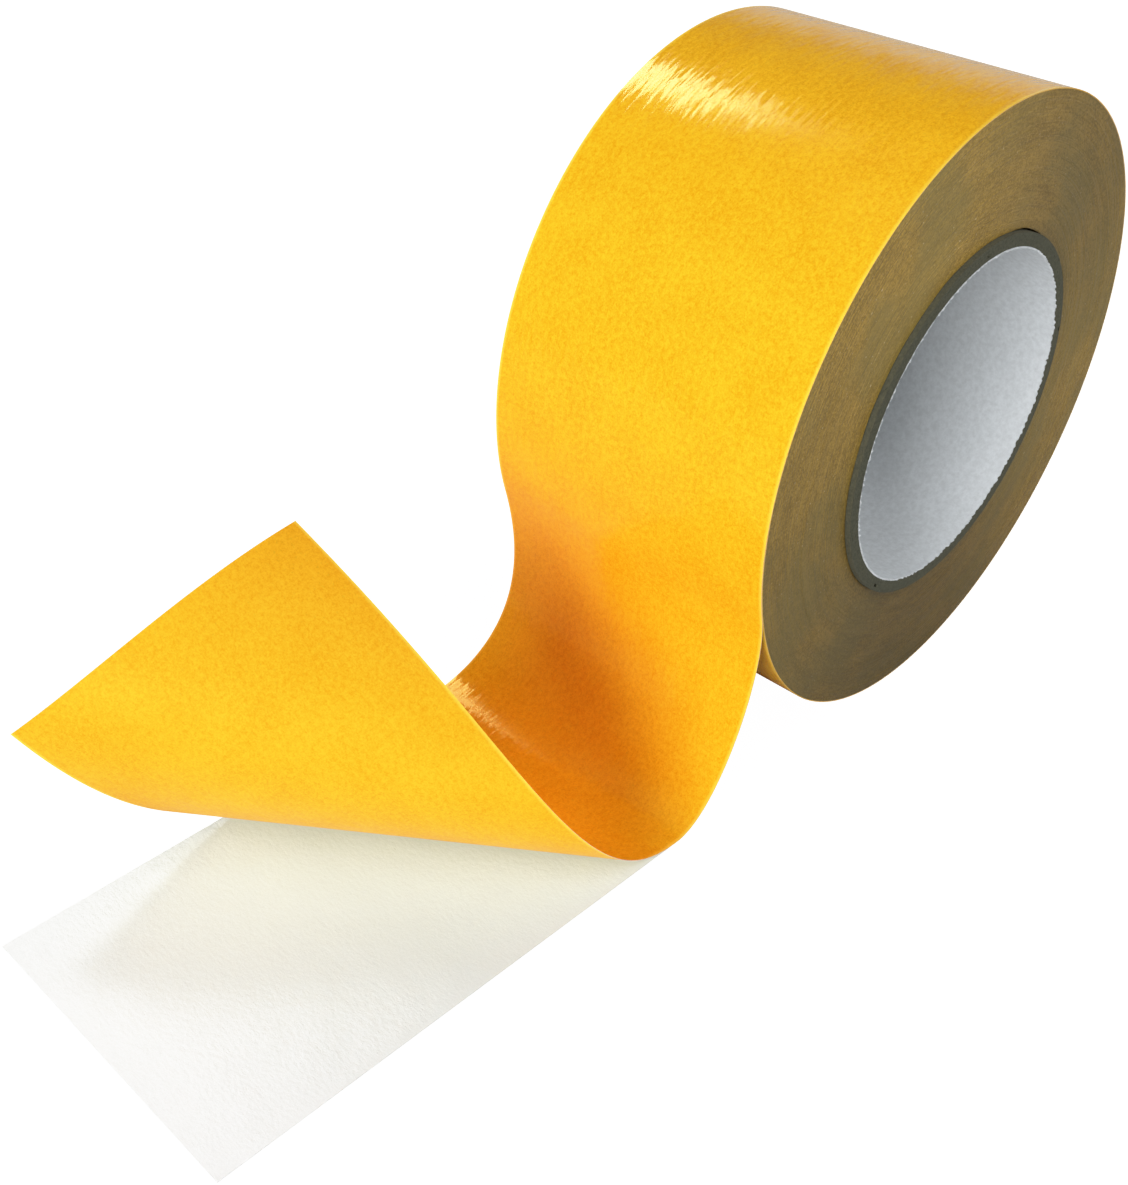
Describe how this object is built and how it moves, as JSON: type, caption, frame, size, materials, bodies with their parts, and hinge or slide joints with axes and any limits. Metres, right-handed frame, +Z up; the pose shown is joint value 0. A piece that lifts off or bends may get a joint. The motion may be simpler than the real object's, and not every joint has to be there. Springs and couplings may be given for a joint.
{
  "type": "double-sided adhesive tape roll",
  "caption": "Wide roll of double-sided tape on a spiral-wound paper core, tail laid flat and release liner peeled back in a curl.",
  "frame": {"origin": "centre of the tape's width on the roll's axis", "axes": "+Y along the roll's axis toward the far side, +Z up with the roll lying on its tread, the tail runs toward -X"},
  "size_m": [0.2757, 0.093, 0.1396],
  "materials": {
    "lining": "matte white lining paper",
    "board": "raw grey board",
    "kraft": "brown kraft paper",
    "pack": "cut edges of wound tape, olive brown",
    "liner": "yellow siliconised release paper, satin",
    "flap": "yellow release paper, back side, soft sheen",
    "adhesive": "glossy milky adhesive",
    "carrier": "white tissue"
  },
  "bodies": {
    "tail_span": {"span_inner_adhesive": "adhesive", "span_carrier": "carrier", "span_outer_adhesive": "adhesive", "span_release_liner": "liner"},
    "roll": {"core_white_lining": "lining", "core_board_ply_1": "board", "core_board_ply_2": "board", "core_board_ply_3": "board", "core_board_ply_4": "board", "core_kraft_wrap": "kraft", "wound_tape_pack": "pack", "outer_turn_inner_adhesive": "adhesive", "outer_turn_carrier": "carrier", "outer_turn_outer_adhesive": "adhesive", "outer_turn_release_liner": "liner"},
    "laid_strip": {"strip_ground_adhesive": "adhesive", "strip_carrier": "carrier", "strip_top_adhesive": "adhesive", "strip_stuck_liner": "liner"},
    "peeled_liner": {"liner_flap": "flap"}
  },
  "joints": [
    {"name": "roll_pay_out", "type": "hinge", "parent": "tail_span", "child": "roll", "pos_m": [0, 0, 0], "axis": [0, 1, 0], "continuous": true},
    {"name": "tail_lift", "type": "hinge", "parent": "tail_span", "child": "laid_strip", "pos_m": [-0.08927, 0.00135, -0.0698], "axis": [-0.0841, 0.9965, 0], "range_deg": [0, 25]},
    {"name": "liner_peel", "type": "hinge", "parent": "laid_strip", "child": "peeled_liner", "pos_m": [-0.088, -0.03494, -0.0698], "axis": [-0.5414, 0.8408, 0], "range_deg": [0, 35]}
  ]
}
